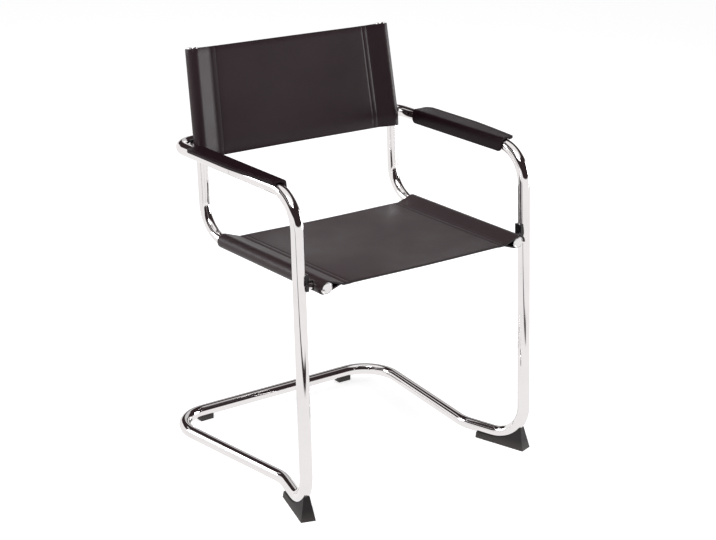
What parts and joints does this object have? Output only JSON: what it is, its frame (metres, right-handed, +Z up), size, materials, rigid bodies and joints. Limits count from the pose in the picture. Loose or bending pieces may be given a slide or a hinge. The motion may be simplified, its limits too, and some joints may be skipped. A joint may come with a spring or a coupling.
{
  "type": "cantilever armchair",
  "caption": "Cantilever armchair of bent chromed tube with stretched dark leather seat and back slings, leather arm pads and rubber feet.",
  "frame": {"origin": "on the floor under the middle of the chair's bounding box", "axes": "+Z up; the chair faces -Y; +X to the right of someone who looks at its front"},
  "size_m": [0.612, 0.533, 0.8278],
  "materials": {
    "frame_chrome": "bright chrome plating on bent steel tube",
    "rail_chrome": "bright chrome plating on bent steel tube",
    "cap_chrome": "bright chrome plating",
    "spacer_chrome": "bright chrome plating",
    "arm_leather": "dark brown to black thick saddle leather, slight sheen",
    "seat_leather": "dark brown to black thick saddle leather, slight sheen",
    "back_leather": "dark brown to black thick saddle leather, slight sheen",
    "foot_rubber": "matt black rubber",
    "saddle_plastic": "black moulded plastic",
    "spigot_steel": "plain turned steel",
    "fastener_steel": "zinc-plated steel"
  },
  "bodies": {
    "root": {"arm_loop": "frame_chrome", "arm_pad_left": "arm_leather", "arm_pad_right": "arm_leather", "arm_spigot_left": "spigot_steel", "arm_spigot_right": "spigot_steel", "back_sling": "back_leather", "foot_screws": "fastener_steel", "front_foot_left": "foot_rubber", "front_foot_right": "foot_rubber", "front_saddle_left": "saddle_plastic", "front_saddle_right": "saddle_plastic", "front_spacer_left": "spacer_chrome", "front_spacer_right": "spacer_chrome", "joint_bolts": "fastener_steel", "main_frame": "frame_chrome", "rail_cap_left": "cap_chrome", "rail_cap_right": "cap_chrome", "rear_glide_left": "foot_rubber", "rear_glide_right": "foot_rubber", "rear_saddle_left": "saddle_plastic", "rear_saddle_right": "saddle_plastic", "rear_spacer_left": "spacer_chrome", "rear_spacer_right": "spacer_chrome", "seat_sling": "seat_leather", "side_rail_left": "rail_chrome", "side_rail_right": "rail_chrome", "threaded_inserts": "fastener_steel", "top_cap_left": "cap_chrome", "top_cap_right": "cap_chrome"}
  },
  "joints": []
}
